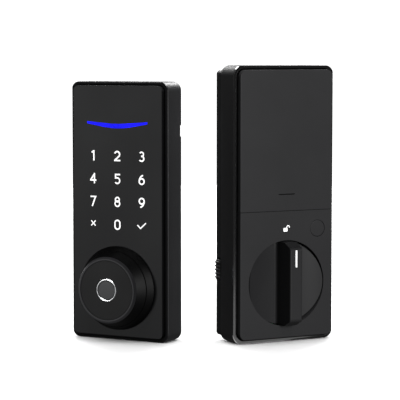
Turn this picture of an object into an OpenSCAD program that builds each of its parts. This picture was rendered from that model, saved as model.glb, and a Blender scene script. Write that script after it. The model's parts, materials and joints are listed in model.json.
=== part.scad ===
// Keypad smart lock: an exterior keypad unit with a fingerprint knob, and an interior unit with a
// thumbturn and a battery bay. Both stand on their lower edges, side by side and turned apart.
// Each unit is drawn lying on its back, X to the right, Y up and Z out of the door face, and the
// place modules stand it up with its front towards -Y. Origin: centre of the footprint, +Z up.

/* [Placement] */
// Angle that each unit is turned away from the front
yaw = 27.5; // [0:0.5:30]
// Clear gap between the two units' back corners
unit_gap = 20.6; // [20:0.2:80]

/* [Exterior unit] */
// Width of the exterior housing
ext_w = 68; // [66:1:90]
// Height of the exterior housing
ext_h = 160; // [158:1:220]
// Depth from the door face to the housing's front lip
ext_d = 18.5; // [16.4:0.1:22]
// Corner radius of the exterior housing
ext_r = 5.5; // [3:0.5:10]
// Radius on the housing's front edges
ext_edge = 1; // [0.4:0.1:1.2]
// Wall of the exterior housing
ext_wall = 2; // [1.6:0.1:3]
// Width of the lip that frames the front panel
ext_lip = 1.6; // [1.3:0.1:3]
// Groove between the lip and the front panel
ext_groove = 0.85; // [0.5:0.05:1.5]
// How far the front panel stands proud of the lip
ext_proud = 2.4; // [1:0.1:4]
// Depth of the recess that seats the front panel
ext_recess = 1.2; // [0.8:0.1:2]
// Thickness of the foam gasket
gasket_t = 1; // [0.6:0.1:2]
// Thickness of the back plate
back_t = 1.5; // [1:0.1:2]
// Height of the pry notch's middle on the right side
notch_y = 129.7; // [110:0.1:140]
// Length of the pry notch
notch_l = 7; // [4:0.5:12]

/* [Keypad] */
// Distance between key columns
key_dx = 17.2; // [14:0.1:19]
// Distance between key rows
key_dy = 14.15; // [12:0.05:16]
// Height of the lowest row of keys
key_y = 71.9; // [68:0.1:76]
// Height of a key's symbol
glyph_h = 6.4; // [4:0.1:8]
// Width of a key's symbol
glyph_w = 4.4; // [3:0.1:6]
// Stroke of a key's symbol
glyph_stroke = 0.9; // [0.6:0.05:1.2]
// Depth of the light inlays in the front panel
inlay_t = 0.8; // [0.4:0.1:1.2]
// Half the span of the status light
light_half = 21.3; // [12:0.1:24]
// Sag of the status light's lower edge
light_sag = 2.9; // [2:0.1:5]
// Thickness of the status light in its middle
light_t = 2.8; // [1.5:0.1:3.5]
// Thickness of the status light at its ends
light_end_t = 1.3; // [0.8:0.1:2]
// Height of the status light's lowest point
light_y = 131.3; // [126:0.1:136]

/* [Knob] */
// Height of the knob's axis above the exterior unit's lower edge
knob_y = 32.7; // [30:0.1:33]
// Diameter of the knob at its base
knob_base_d = 52; // [44:0.5:56]
// Diameter of the knob's face
knob_face_d = 41; // [34:0.5:42]
// Height of the knob above the front panel
knob_h = 14; // [12:0.5:24]
// Wall of the knob
knob_wall = 2.4; // [1.6:0.1:3]
// Bevel around the knob's face
knob_bevel = 1.3; // [0.6:0.1:2]
// Outer diameter of the sensor's bright ring
ring_d = 14.6; // [12:0.1:18]
// Width of the sensor's bright ring
ring_w = 1.5; // [0.8:0.1:2.5]
// Diameter of the knob's hollow spindle
spindle_d = 12; // [10:0.1:13]
// Bore of the knob's hollow spindle
spindle_bore = 6; // [5.4:0.1:6.6]
// Travel of the clutch
clutch_travel = 1.4; // [0.8:0.1:1.6]
// Diameter of the tailpiece hub's journal
tail_hub_d = 12; // [10:0.1:13]
// Width of the tailpiece
tail_w = 7; // [5:0.1:8]
// Thickness of the tailpiece
tail_t = 2; // [1.5:0.1:2.5]
// Length of the tailpiece behind the door face
tail_l = 45; // [30:1:60]
// Distance between the two mounting posts
post_dx = 38; // [34:0.5:42]
// Outer diameter of a mounting post
post_d = 7.2; // [6:0.1:8]
// Core diameter of a mounting post's M5 thread
post_core_d = 4.2; // [3.3:0.1:4.6]
// Length of a mounting post behind the door face
post_l = 8; // [5:1:20]

/* [Interior unit] */
// Width of the interior shell
int_w = 70; // [69:1:90]
// Height of the interior shell
int_h = 170; // [168:1:220]
// Depth from the door face to the shell's front lip
int_d = 24.1; // [24.1:0.1:30]
// Corner radius of the interior shell
int_r = 6; // [3:0.5:10]
// Radius on the shell's front edges
int_edge = 0.9; // [0.4:0.1:1.2]
// Wall of the interior shell
int_wall = 2; // [1.6:0.1:2.4]
// Width of the trim frame around the front panels
int_lip = 1.75; // [1.3:0.05:3]
// Groove between the trim frame and the front panels
int_groove = 0.9; // [0.5:0.05:1.5]
// Depth of the trim frame
trim_t = 1.5; // [1.2:0.1:2]
// How far the front panels stand proud of the trim frame
int_proud = 3.3; // [2:0.1:4]
// Front wall of the lower panel
panel_wall = 2.4; // [1.6:0.1:3]
// Depth of the rear base
base_d = 6.8; // [6:0.1:8]
// Inset of the rear base at the sides
base_inset_x = 0.8; // [0.4:0.1:2]
// Inset of the rear base at top and bottom
base_inset_y = 3; // [1:0.1:5]
// Thickness of the mounting plate
plate_t = 1.5; // [1:0.1:2]
// Height of the seam under the battery cover
seam_y = 81; // [80:0.5:84]
// Width of the seam under the battery cover
seam_gap = 0.3; // [0.2:0.05:0.6]

/* [Thumbturn] */
// Height of the thumbturn's axis above the interior unit's lower edge
turn_y = 36.4; // [34:0.1:37]
// Diameter of the thumbturn
turn_d = 51.8; // [43.2:0.1:52]
// Gap around the thumbturn
turn_gap = 0.6; // [0.3:0.05:0.8]
// Width of the grip bar
bar_w = 8.5; // [6:0.1:12]
// Length of the grip bar's front face
bar_l = 46.6; // [36:0.1:47]
// How far the grip bar stands proud of the panel
bar_proud = 12; // [6:0.5:16]
// Radius on the grip bar's long edges
bar_edge = 0.8; // [0.3:0.1:1.5]
// Fillet where the grip bar meets the finger scoops
bar_fillet = 1.6; // [0.8:0.1:2.5]
// Depth of the finger scoops below the panel's face
scoop_depth = 5; // [3:0.1:5]
// Length of the bar's marker line
marker_l = 10.3; // [6:0.1:16]
// Width of the bar's marker line
marker_w = 1.1; // [0.8:0.1:2.4]
// Diameter of the drive hub
hub_d = 12; // [11:0.1:12.4]

/* [Gear train] */
// Tooth module of the gears
gear_m = 0.8; // [0.7:0.02:0.8]
// Teeth of the main gear
main_teeth = 44; // [40:1:44]
// Teeth of the idler's large wheel
idler_teeth = 36; // [30:1:36]
// Teeth of the two small pinions
pinion_teeth = 12; // [12:1:14]
// Diameter of the drive motor
motor_d = 20; // [16:0.5:20]
// Sideways place of the drive motor
motor_x = -16; // [-17:0.5:-14]
// Height of the drive motor's axis above the thumbturn's axis
motor_dy = 31.6; // [30:0.1:31.6]

/* [Battery bay] */
// Diameter of a battery cell
cell_d = 14.5; // [12.1:0.1:14.5]
// Length of a battery cell
cell_l = 50.5; // [44:0.5:51]
// Gap between cells
cell_gap = 0.7; // [0.4:0.1:0.9]
// Height of the battery tray's lower wall
tray_y = 98; // [96:0.5:99]
// Length of the pull mark engraved in the battery cover
mark_l = 11.4; // [6:0.1:20]
// Height of the pull mark above the seam
mark_dy = 10.2; // [6:0.1:20]

/* [Buttons] */
// Diameter of the set button
button_d = 10.2; // [8:0.1:11]
// Sideways place of the set button
button_x = 22; // [20:0.5:24]
// Height of the set button above the thumbturn's axis
button_dy = 33; // [32:0.1:34]
// Width of the padlock symbol's body
lock_w = 2.8; // [2.4:0.1:5]
// Height of the padlock symbol's body
lock_h = 2.2; // [2:0.1:4]
// Outer radius of the padlock symbol's shackle
lock_r = 1.15; // [1:0.05:1.8]
// Stroke of the padlock symbol's shackle
lock_stroke = 0.5; // [0.3:0.05:0.8]
// Travel of the set button
button_travel = 0.6; // [0.3:0.1:0.8]
// Height of the release slider's lower end
slider_y = 38; // [34:0.5:60]
// Length of the release slider
slider_l = 12.4; // [8:0.1:16]
// Travel of the release slider
slider_travel = 4; // [2:0.5:6]
// Ribs on the release slider
slider_ribs = 5; // [3:1:5]

/* [Fits] */
// Radial clearance of a shaft that turns in a bush
running = 0.05; // [0.02:0.01:0.09]
// Clearance of a sliding or loose piece
loose = 0.3; // [0.2:0.05:0.5]

/* [Hidden] */
$fn = 72;
eps = 0.01;

// Finishes
panel_grey = [0.18, 0.18, 0.19];
shell_grey = [0.13, 0.13, 0.14];
base_black = [0.08, 0.08, 0.09];
light_grey = [0.62, 0.63, 0.65];
steel_grey = [0.55, 0.56, 0.58];
board_green = [0.10, 0.32, 0.20];
brass_gold = [0.78, 0.62, 0.32];
symbol_white = [0.95, 0.95, 0.95];
light_blue = [0.12, 0.14, 1.0];

// Exterior unit, depths measured out from the door face
ext_mid = ext_h / 2;
panel_w = ext_w - 2 * (ext_lip + ext_groove);
panel_h = ext_h - 2 * (ext_lip + ext_groove);
panel_r = ext_r - ext_lip;
panel_back = ext_d - ext_recess;
panel_front = ext_d + ext_proud;
front_wall = 2;
panel_edge = 0.5;
cavity_front = panel_back - front_wall;
back_inner = gasket_t + back_t;
boss_x = ext_w / 2 - ext_wall - 5;
boss_y = ext_mid - ext_wall - 6;
screw_r = 1.25;
boss_r = 3;

// Keypad
key_rows = 4;
key_top = key_y + (key_rows - 1) * key_dy;
board_t = 1.2;
board_front = cavity_front - 1.1;
board_hole_x = ext_w / 2 - ext_wall - 5;
board_low = key_y - 10;
board_high = light_y + 14;
light_bend = 0.35;
light_steps = 24;
mark_stroke = glyph_stroke * 0.78;
mark_rise = 0.7;

// Knob and clutch, one stack along the knob's axis
knob_base = panel_front + 0.3;
knob_front = panel_front + knob_h;
knob_web = knob_base + 3;
web_t = 2;
spindle_end = cavity_front - 2.7;
bush_flange_r = spindle_d / 2 + 6;
bush_r = spindle_d / 2 + 3;
clip_front = cavity_front - 0.1;
clip_t = 0.9;
dog_count = 4;
dog_w = 1.8;
slot_depth = 1.6;
tail_bush_flange = 1.4;
collar_back = back_inner + tail_bush_flange + 0.1;
collar_t = 1.4;
square_w = 6;
sleeve_back = collar_back + collar_t + 0.4;
sleeve_t = 3;
sleeve_r = spindle_d / 2 + 3;
fork_groove_r = sleeve_r - 2;
fork_t = 0.8;
fork_back = sleeve_back + sleeve_t / 2 - fork_t / 2;
dog_l = spindle_end - 0.3 - (sleeve_back + sleeve_t);
pilot_r = spindle_bore / 2 - running;
pilot_end = spindle_end + 3.5;
actuator_x = -ext_w / 2 + ext_wall + 8;
actuator_w = 12;
actuator_h = 17;
rod_r = 1.2;

// Interior unit, depths measured out from the door face
int_mid = int_h / 2;
trim_back = int_d - trim_t;
wall_back = trim_back - 1.8;
int_panel_w = int_w - 2 * (int_lip + int_groove);
int_panel_h = int_h - 2 * (int_lip + int_groove);
int_panel_r = int_r - int_lip;
int_front = int_d + int_proud;
cover_back = int_d + 0.2;
base_w = int_w - 2 * base_inset_x;
base_h = int_h - 2 * base_inset_y;
base_r = 2.5;
base_wall = 2;
floor_back = plate_t;
floor_t = 1.8;
floor_front = floor_back + floor_t;
shell_back_t = 2;
rear_half = base_w / 2 - base_wall - 2;
standoff_r = 1.8;
case_boss_x = int_w / 2 - int_wall - 7;
case_boss_y = int_mid - int_wall - 4.7;
case_screw_r = 1.5;

// Thumbturn
turn_back = int_front - scoop_depth - 1.2;
scoop_over = 0.5;
scoop_reach = turn_d / 2 - bar_w / 2 + scoop_over;
scoop_r = (scoop_reach * scoop_reach + scoop_depth * scoop_depth) / (2 * scoop_depth);
bar_front = int_front + bar_proud;
bar_round = 2.5;
hub_back = floor_back;
hub_boss_r = hub_d / 2 + 3.5;
control_front = wall_back - 0.6;
control_back = control_front - board_t;
control_low = int_wall + 4;
control_holes = [control_low + 8, seam_y - 3];
slot_w = tail_w + 0.4;
slot_t = tail_t + 0.4;
slot_l = 15;

// Gear train: motor pinion drives the idler's wheel, the idler's pinion drives the main gear
button_y = turn_y + button_dy;
motor_y = turn_y + motor_dy;
case_floor_t = 1.2;
case_back = floor_front;
cover_t = 1.2;
gear_cover_back = control_back - 0.6 - cover_t;
wheel_t = 2.2;
wheel_back = gear_cover_back - 0.4 - wheel_t;
main_t = 3;
main_back = wheel_back - 0.8 - main_t;
motor_front = wheel_back - 0.4;
motor_back = case_back + case_floor_t;
axle_r = 1.5;
drive_gap = norm([motor_x, motor_dy]);
stage_one = gear_m * (pinion_teeth + idler_teeth) / 2;
stage_two = gear_m * (pinion_teeth + main_teeth) / 2;
drive_angle = atan2(motor_dy, motor_x);
idler_angle = drive_angle
    - acos((stage_two * stage_two + drive_gap * drive_gap - stage_one * stage_one)
        / (2 * stage_two * drive_gap));
idler_x = stage_two * cos(idler_angle);
idler_y = turn_y + stage_two * sin(idler_angle);
motor_angle = atan2(motor_y - idler_y, motor_x - idler_x);
gearbox_left = motor_x - motor_d / 2 - 2.5;
gearbox_right = gear_m * (main_teeth / 2 + 1) + 1.8;
gearbox_low = turn_y - gear_m * (main_teeth / 2 + 1) - 1.6;
gearbox_high = motor_y + motor_d / 2 + 1.6;
gearbox_wall = 1.2;

// Battery bay
bay_half = 4 * (cell_d + cell_gap) / 2 - 1.4;
bay_r = 1;
bay_low = seam_y + 3;
bay_high = int_h - int_lip - 5.5;
tray_wall = 1;
tray_half = 4 * (cell_d + cell_gap) / 2 + 0.3 + tray_wall;
tray_h = cell_l + 9.5;
tray_back = floor_front;
tray_step = base_d + shell_back_t + 0.2;
cell_z = tray_back + 0.8 + cell_d / 2;
tray_front = cell_z + 5.4;
cell_low = tray_y + tray_wall + 5.6;
nub_l = 1;
contact_t = 0.3;
contact_half = cell_d / 2 - 2.75;
foot_t = 1.1;
runner_l = 7;
runner_low = bay_low + bay_r + 0.4;

// Side slider
slider_back = 1;
slider_front = base_d - 0.5;
slider_x = int_w / 2 - base_inset_x;
slider_t = 1.8;

// Footprint, used to put the origin at its centre
ext_reach_left = (ext_w / 2 - ext_edge) * cos(yaw) + (ext_d - ext_edge) * sin(yaw) + ext_edge;
int_reach_right = (int_w / 2 - int_edge) * cos(yaw) + (int_d - int_edge) * sin(yaw) + int_edge;
unit_spacing = (ext_w / 2) * cos(yaw) + (int_w / 2) * cos(yaw) + unit_gap;
ext_x = -(unit_spacing + int_reach_right - ext_reach_left) / 2;
int_x = ext_x + unit_spacing;
knob_reach = knob_front * cos(yaw) + (knob_face_d / 2 - knob_bevel) * sin(yaw);
bar_reach = bar_front * cos(yaw) + bar_w / 2 * sin(yaw);
panel_reach = (int_front - panel_edge) * cos(yaw) + (int_panel_w / 2 - panel_edge) * sin(yaw)
    + panel_edge;
reach_front = max(knob_reach, bar_reach, panel_reach);
reach_back = tail_l * cos(yaw) + tail_t / 2 * sin(yaw);
row_y = (reach_front - reach_back) / 2;

// ---- Placing ----

module place_exterior() {
    translate([ext_x, row_y, 0]) rotate([0, 0, -yaw]) rotate([90, 0, 0]) children();
}

module place_interior() {
    translate([int_x, row_y, 0]) rotate([0, 0, yaw]) rotate([90, 0, 0]) children();
}

module at_knob() {
    place_exterior() translate([0, knob_y, 0]) children();
}

module at_turn() {
    place_interior() translate([0, turn_y, 0]) children();
}

// ---- Shared shapes ----

// Rectangle with true round corners
module rounded_rect(w, h, r) {
    square([w - 2 * r, h], center = true);
    square([w, h - 2 * r], center = true);
    for (sx = [-1, 1], sy = [-1, 1])
        translate([sx * (w / 2 - r), sy * (h / 2 - r)]) circle(r);
}

// Plate with round corners between two depths
module slab(w, h, r, z0, z1) {
    translate([0, 0, z0]) linear_extrude(z1 - z0) rounded_rect(w, h, r);
}

// Plain block given by its middle, size and two depths
module block(x, y, w, h, z0, z1) {
    translate([x - w / 2, y - h / 2, z0]) cube([w, h, z1 - z0]);
}

module disc(r, z0, z1) {
    translate([0, 0, z0]) cylinder(r = r, h = z1 - z0);
}

module ring(r_out, r_in, z0, z1) {
    difference() {
        disc(r_out, z0, z1);
        disc(r_in, z0 - 1, z1 + 1);
    }
}

// Side view of a slab whose front corners are rounded
module edge_profile(len, depth, edge) {
    translate([-len / 2, 0]) square([len, depth - edge]);
    translate([-len / 2 + edge, 0]) square([len - 2 * edge, depth]);
    for (sx = [-1, 1]) translate([sx * (len / 2 - edge), depth - edge]) circle(edge);
}

// Slab with round corners and a softened front edge
module soft_slab(w, h, r, z0, z1, edge) {
    intersection() {
        slab(w, h, r, z0, z1);
        translate([0, h / 2, z0]) rotate([90, 0, 0])
            linear_extrude(h) edge_profile(w, z1 - z0, edge);
        translate([-w / 2, 0, z0]) rotate([90, 0, 90])
            linear_extrude(w) edge_profile(h, z1 - z0, edge);
    }
}

// Screw with a flat head, its head's back at z0 and its tip at z1
module screw(r, head_r, head_t, z0, z1) {
    disc(head_r, z0, z0 + head_t);
    disc(r, z0 + head_t, z1);
}

// Spur gear outline with slim straight-sided teeth, one tooth centred on angle phase
function tooth_point(radius, offset, angle) =
    [radius * cos(angle) - offset * sin(angle), radius * sin(angle) + offset * cos(angle)];

module gear_outline(teeth, phase) {
    pitch_r = gear_m * teeth / 2;
    tip_r = pitch_r + 0.82 * gear_m;
    root_r = pitch_r - 1.15 * gear_m;
    tip_half = 0.30 * gear_m;
    root_half = 0.98 * gear_m;
    polygon([for (i = [0 : teeth - 1]) for (p = [0 : 3])
        let (a = phase + i * 360 / teeth)
        p == 0 ? tooth_point(root_r, -root_half, a) :
        p == 1 ? tooth_point(tip_r, -tip_half, a) :
        p == 2 ? tooth_point(tip_r, tip_half, a) : tooth_point(root_r, root_half, a)]);
}

module spur_gear(teeth, bore_r, z0, z1, phase) {
    difference() {
        translate([0, 0, z0]) linear_extrude(z1 - z0) gear_outline(teeth, phase);
        disc(bore_r, z0 - 1, z1 + 1);
    }
}

// ---- Exterior unit: symbols and lights ----

// Straight stroke between two points
module line_stroke(p, q, w = glyph_stroke) {
    translate(p) rotate(atan2(q[1] - p[1], q[0] - p[0])) translate([0, -w / 2])
        square([norm(q - p), w]);
}

// Part of a ring stroke, from angle a0 to a1
module arc_stroke(x, y, r, a0, a1) {
    translate([x, y]) intersection() {
        difference() {
            circle(r + glyph_stroke / 2);
            circle(r - glyph_stroke / 2);
        }
        polygon(concat([[0, 0]], [for (i = [0 : 6])
            2 * r * [cos(a0 + (a1 - a0) * i / 6), sin(a0 + (a1 - a0) * i / 6)] * 1.2]));
    }
}

module ring_stroke(x, y, r) {
    translate([x, y]) difference() {
        circle(r + glyph_stroke / 2);
        circle(r - glyph_stroke / 2);
    }
}

// Digits as plain sans strokes about their own middle
module digit(value) {
    gx = (glyph_w - glyph_stroke) / 2;
    gy = (glyph_h - glyph_stroke) / 2;
    edge = glyph_h / 2;
    bowl = gx * 0.98;
    if (value == 0) {
        arc_stroke(0, gy - gx, gx, 0, 180);
        arc_stroke(0, gx - gy, gx, 180, 360);
        for (sx = [-1, 1]) line_stroke([sx * gx, gx - gy], [sx * gx, gy - gx]);
    }
    if (value == 1) {
        line_stroke([gx * 0.3, -edge], [gx * 0.3, edge]);
        line_stroke([-gx * 0.6, gy * 0.68], [gx * 0.3, gy * 1.02]);
    }
    if (value == 2) {
        arc_stroke(0, gy - bowl, bowl, -42, 165);
        line_stroke([bowl * 0.78, gy - bowl * 1.62], [-gx * 0.9, -gy * 0.92]);
        line_stroke([-gx - glyph_stroke / 2, -gy], [gx + glyph_stroke / 2, -gy]);
    }
    if (value == 3) {
        arc_stroke(0, gy * 0.52, gy * 0.48, -100, 150);
        arc_stroke(0, -gy * 0.44, gy * 0.56, -150, 100);
    }
    if (value == 4) {
        line_stroke([gx * 0.5, -edge], [gx * 0.5, edge]);
        line_stroke([gx * 0.5, gy], [-gx, -gy * 0.35]);
        line_stroke([-gx - glyph_stroke / 2, -gy * 0.42], [gx + glyph_stroke / 2, -gy * 0.42]);
    }
    if (value == 5) {
        line_stroke([-gx * 0.7, gy], [gx + glyph_stroke * 0.3, gy]);
        line_stroke([-gx * 0.7, edge], [-gx * 0.7, gy * 0.05]);
        arc_stroke(0, bowl - gy, bowl, -145, 115);
    }
    if (value == 6) digit_six(gy, bowl);
    if (value == 7) {
        line_stroke([-gx - glyph_stroke * 0.3, gy], [gx + glyph_stroke / 2, gy]);
        line_stroke([gx * 0.92, gy], [-gx * 0.45, -edge]);
    }
    if (value == 8) {
        ring_stroke(0, gy * 0.5, gy * 0.5);
        ring_stroke(0, -gy * 0.4, gy * 0.6);
    }
    if (value == 9) rotate(180) digit_six(gy, bowl);
}

// Ring with a long stroke that rises from its left side
module digit_six(gy, bowl) {
    rise = bowl * 2.35;
    ring_stroke(0, bowl - gy, bowl);
    arc_stroke(rise - bowl, bowl - gy, rise, 110, 181);
}

module cross_mark() {
    for (a = [45, -45]) rotate(a) square([glyph_w, mark_stroke], center = true);
}

module tick_mark() {
    knee = [-glyph_w * 0.2, -glyph_h * 0.36];
    line_stroke(knee, [glyph_w * 0.66, glyph_h * 0.17], mark_stroke);
    line_stroke([-glyph_w * 0.7, -glyph_h * 0.04], knee, mark_stroke);
    translate(knee) circle(mark_stroke / 2);
}

// Digits 1 to 9 in three rows, and cross, 0 and tick below
module key_symbols() {
    for (row = [0 : 2], col = [0 : 2])
        translate([(col - 1) * key_dx, key_top - row * key_dy]) digit(row * 3 + col + 1);
    translate([-key_dx, key_y + mark_rise / 2]) cross_mark();
    translate([0, key_y]) digit(0);
    translate([key_dx, key_y + mark_rise]) tick_mark();
}

// Height of a softly bent line above its middle, at a share of its half span
function bent(share) = (sqrt(share * share + light_bend * light_bend) - light_bend)
    / (sqrt(1 + light_bend * light_bend) - light_bend);

// Shallow wings that are thick in the middle
module light_shape() {
    upper_sag = light_sag + light_end_t - light_t;
    shares = [for (i = [0 : light_steps]) 2 * i / light_steps - 1];
    polygon(concat([for (u = shares) [u * light_half, light_y + light_sag * bent(u)]],
        [for (u = shares) [-u * light_half, light_y + light_t + upper_sag * bent(u)]]));
}

module keypad_legends() {
    color(symbol_white) place_exterior()
        translate([0, 0, panel_front - inlay_t]) linear_extrude(inlay_t) key_symbols();
}

module status_light() {
    color(light_blue) place_exterior()
        translate([0, 0, panel_front - inlay_t]) linear_extrude(inlay_t) light_shape();
}

// ---- Exterior unit: casing ----

module exterior_housing() {
    color(shell_grey) place_exterior() difference() {
        union() {
            difference() {
                translate([0, ext_mid, 0])
                    soft_slab(ext_w, ext_h, ext_r, gasket_t, ext_d, ext_edge);
                translate([0, ext_mid, 0]) slab(ext_w - 2 * ext_wall, ext_h - 2 * ext_wall,
                    ext_r - ext_wall + 0.5, gasket_t - 1, cavity_front);
            }
            for (sx = [-1, 1], sy = [-1, 1]) translate([sx * boss_x, ext_mid + sy * boss_y, 0])
                disc(boss_r, back_inner, cavity_front + eps);
            for (sx = [-1, 1], y = [board_low + 4, board_high - 4])
                translate([sx * board_hole_x, y, 0])
                    disc(standoff_r, board_front, cavity_front + eps);
        }
        // Recess for the front panel
        translate([0, ext_mid, 0]) slab(ext_w - 2 * ext_lip, ext_h - 2 * ext_lip,
            panel_r + ext_groove, panel_back, ext_d + 1);
        // Light window behind the keys, and the knob's bush
        block(0, (board_low + light_y) / 2 + 3, 2 * light_half + 2, light_y - board_low - 2,
            cavity_front - 1, panel_back + 1);
        translate([0, knob_y, 0]) disc(bush_r, cavity_front - 1, panel_back + 1);
        for (sx = [-1, 1], sy = [-1, 1]) translate([sx * boss_x, ext_mid + sy * boss_y, 0])
            disc(screw_r, back_inner - 1, cavity_front - 2);
        // Pry notch in the back edge of the right side
        block(ext_w / 2, notch_y, 2 * ext_wall + 2, notch_l, gasket_t - 1, gasket_t + 1.2);
    }
}

module front_panel() {
    color(panel_grey) place_exterior() difference() {
        translate([0, ext_mid, 0]) soft_slab(panel_w, panel_h, panel_r, panel_back,
            panel_front, panel_edge);
        translate([0, knob_y, 0]) disc(bush_flange_r + 0.2, panel_back - 1, panel_front + 1);
        translate([0, 0, panel_front - inlay_t]) linear_extrude(inlay_t + 1) {
            key_symbols();
            light_shape();
        }
    }
}

module exterior_back_plate() {
    color(steel_grey) place_exterior() difference() {
        translate([0, ext_mid, 0]) slab(ext_w - 2 * ext_wall - 0.4, ext_h - 2 * ext_wall - 0.4,
            ext_r - ext_wall + 0.3, gasket_t, back_inner);
        translate([0, knob_y, 0]) disc(tail_hub_d / 2 + 2.5, 0, back_inner + 1);
        for (sx = [-1, 1]) translate([sx * post_dx / 2, knob_y, 0])
            disc(post_d / 2, 0, back_inner + 1);
        for (sx = [-1, 1], sy = [-1, 1]) translate([sx * boss_x, ext_mid + sy * boss_y, 0])
            disc(screw_r + 0.2, 0, back_inner + 1);
        block(0, 14, 12.4, 6.4, 0, back_inner + 1);
    }
}

module exterior_gasket() {
    color("dimgray") place_exterior() translate([0, ext_mid, 0]) difference() {
        slab(ext_w - 1, ext_h - 1, ext_r - 0.5, 0, gasket_t);
        slab(ext_w - 9, ext_h - 9, ext_r - 3, -1, gasket_t + 1);
        translate([0, -ext_mid, 0])
            block(ext_w / 2, notch_y, 4.6, notch_l, -1, gasket_t + 1);
    }
}

module back_plate_screws() {
    color(steel_grey) place_exterior()
        for (sx = [-1, 1], sy = [-1, 1]) translate([sx * boss_x, ext_mid + sy * boss_y, 0])
            screw(screw_r, 2.3, 0.6, gasket_t - 0.6, cavity_front - 3);
}

module mounting_posts() {
    color(steel_grey) at_knob() for (sx = [-1, 1]) translate([sx * post_dx / 2, 0, 0])
        difference() {
            union() {
                disc(post_d / 2 + 1.6, back_inner, back_inner + 1.4);
                disc(post_d / 2, -post_l, back_inner + eps);
            }
            disc(post_core_d / 2, -post_l - 1, back_inner - 0.6);
        }
}

module exterior_cable_socket() {
    color("ivory") place_exterior() difference() {
        union() {
            block(0, 14, 12, 6, gasket_t, gasket_t + 5.5);
            block(0, 14, 15, 9, back_inner, back_inner + 0.8);
        }
        block(0, 14, 10, 4, gasket_t - 1, gasket_t + 4.5);
    }
}

module keypad_board() {
    color(board_green) place_exterior() difference() {
        block(0, (board_low + board_high) / 2, ext_w - 2 * ext_wall - 3, board_high - board_low,
            board_front - board_t, board_front);
        for (sx = [-1, 1], y = [board_low + 4, board_high - 4])
            translate([sx * board_hole_x, y, 0]) disc(1.2, 0, ext_d);
    }
}

// One light behind each key and three behind the status light
module key_leds() {
    color("white") place_exterior() {
        for (row = [0 : key_rows - 1], col = [-1 : 1])
            block(col * key_dx, key_y + row * key_dy, 2, 1.6, board_front, board_front + 0.8);
        for (col = [-1 : 1])
            block(col * light_half * 0.7, light_y + light_sag * 0.5, 2, 1.6,
                board_front, board_front + 0.8);
    }
}

// ---- Exterior unit: knob, clutch and tailpiece ----

module knob_body() {
    base_r = knob_base_d / 2;
    face_r = knob_face_d / 2;
    color(panel_grey) at_knob() difference() {
        union() {
            difference() {
                rotate_extrude() polygon([[0, knob_base], [base_r, knob_base],
                    [base_r, knob_base + 0.8], [face_r, knob_front - knob_bevel],
                    [face_r - knob_bevel, knob_front], [0, knob_front]]);
                // Rear hollow, front hollow and the seat of the face
                rotate_extrude() polygon([[0, knob_base - 1], [base_r - knob_wall, knob_base - 1],
                    [base_r - knob_wall - 1, knob_web], [0, knob_web]]);
                disc(face_r - knob_bevel - 1.6, knob_web + web_t, knob_front + 1);
                disc(face_r - knob_bevel - 0.8, knob_front - 2, knob_front + 1);
            }
            disc(spindle_d / 2 + 2.4, knob_base + 0.4, knob_web + eps);
        }
        disc(spindle_d / 2, knob_base - 1, knob_web + web_t + 1);
    }
}

module knob_face() {
    color([0.15, 0.15, 0.155]) at_knob() difference() {
        disc(knob_face_d / 2 - knob_bevel - 0.8, knob_front - 2, knob_front - 0.2);
        disc(ring_d / 2, knob_front - 3, knob_front + 1);
    }
}

module fingerprint_ring() {
    color("silver") at_knob() difference() {
        union() {
            disc(ring_d / 2, knob_front - 2.4, knob_front + 0.05);
            disc(ring_d / 2 + 1, knob_front - 3, knob_front - 2);
        }
        disc(ring_d / 2 - ring_w, knob_front - 4, knob_front + 1);
    }
}

module fingerprint_sensor() {
    color([0.31, 0.32, 0.33]) at_knob() disc(ring_d / 2 - ring_w, knob_front - 3, knob_front - 0.25);
}

module sensor_board() {
    color(board_green) at_knob() disc(min(12, knob_face_d / 2 - 5), knob_front - 4.2, knob_front - 3);
}

module knob_spindle() {
    color(steel_grey) at_knob() difference() {
        disc(spindle_d / 2, spindle_end, knob_web + web_t);
        disc(spindle_bore / 2, spindle_end - 1, knob_web + web_t + 1);
        ring(spindle_d, spindle_d / 2 - 0.6, clip_front - clip_t, clip_front);
        for (i = [0 : dog_count - 1]) rotate(i * 360 / dog_count)
            translate([0, -dog_w / 2 - 0.25, spindle_end - 1])
                cube([spindle_d, dog_w + 0.5, slot_depth + 1]);
    }
}

module knob_bush() {
    color(brass_gold) at_knob() difference() {
        union() {
            disc(bush_r, cavity_front, panel_back);
            disc(bush_flange_r, panel_back, panel_back + 2);
        }
        disc(spindle_d / 2 + running, cavity_front - 1, panel_front);
    }
}

// Snap ring in the spindle's groove, open on one side
module retaining_clip() {
    color(steel_grey) at_knob() difference() {
        ring(spindle_d / 2 + 1.6, spindle_d / 2 - 0.6, clip_front - clip_t, clip_front);
        translate([0, -1.5, clip_front - clip_t - 1]) cube([spindle_d, 3, clip_t + 2]);
    }
}

module clutch_sleeve() {
    dog_tip = sleeve_back + sleeve_t + dog_l;
    color(brass_gold) at_knob() difference() {
        union() {
            disc(sleeve_r, sleeve_back, sleeve_back + 0.8);
            disc(fork_groove_r, sleeve_back, sleeve_back + sleeve_t);
            disc(sleeve_r, sleeve_back + sleeve_t - 0.8, sleeve_back + sleeve_t);
            for (i = [0 : dog_count - 1]) rotate(i * 360 / dog_count)
                translate([spindle_bore / 2 + 1.3, -dog_w / 2, sleeve_back + sleeve_t - eps])
                    cube([spindle_d / 2 - spindle_bore / 2 - 1.5, dog_w, dog_l + eps]);
        }
        block(0, 0, square_w + 0.2, square_w + 0.2, sleeve_back - 1, dog_tip + 1);
    }
}

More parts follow.
